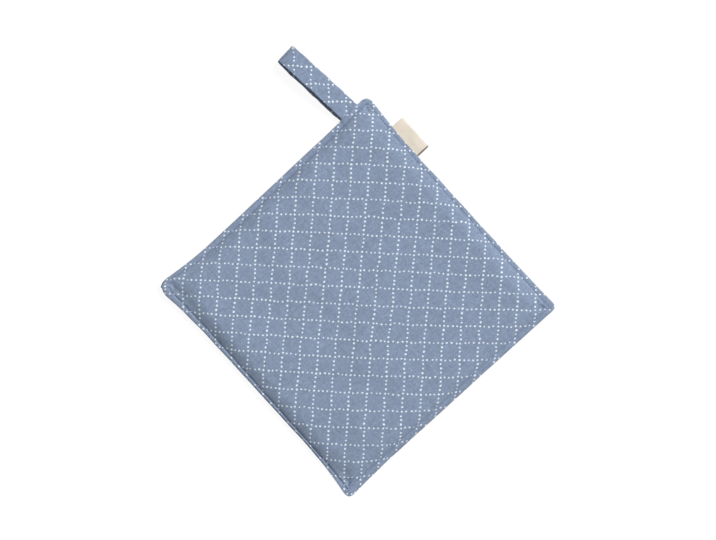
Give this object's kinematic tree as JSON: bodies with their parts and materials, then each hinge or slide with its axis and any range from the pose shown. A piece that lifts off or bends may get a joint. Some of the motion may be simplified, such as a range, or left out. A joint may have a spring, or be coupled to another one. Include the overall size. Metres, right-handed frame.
{
  "type": "pot holder",
  "caption": "Square padded pot holder in dotted cotton, topstitched round its edge, with a folded hanging loop near a corner and a plain tape label in its side seam.",
  "frame": {"origin": "middle of the pad's flat back, on the surface that it lies on", "axes": "+Z out of the front, +Y along the pad towards the edge that holds the hanging loop, +X towards the edge that holds the side label"},
  "size_m": [0.212, 0.2661, 0.0094],
  "materials": {
    "printed_cotton": "dusty blue plain-woven cotton with a lattice of small white dots",
    "cotton_tape": "cream woven tape, bare"
  },
  "bodies": {
    "root": {"padded_square": "printed_cotton", "hanging_loop": "printed_cotton", "side_label": "cotton_tape"}
  },
  "joints": []
}
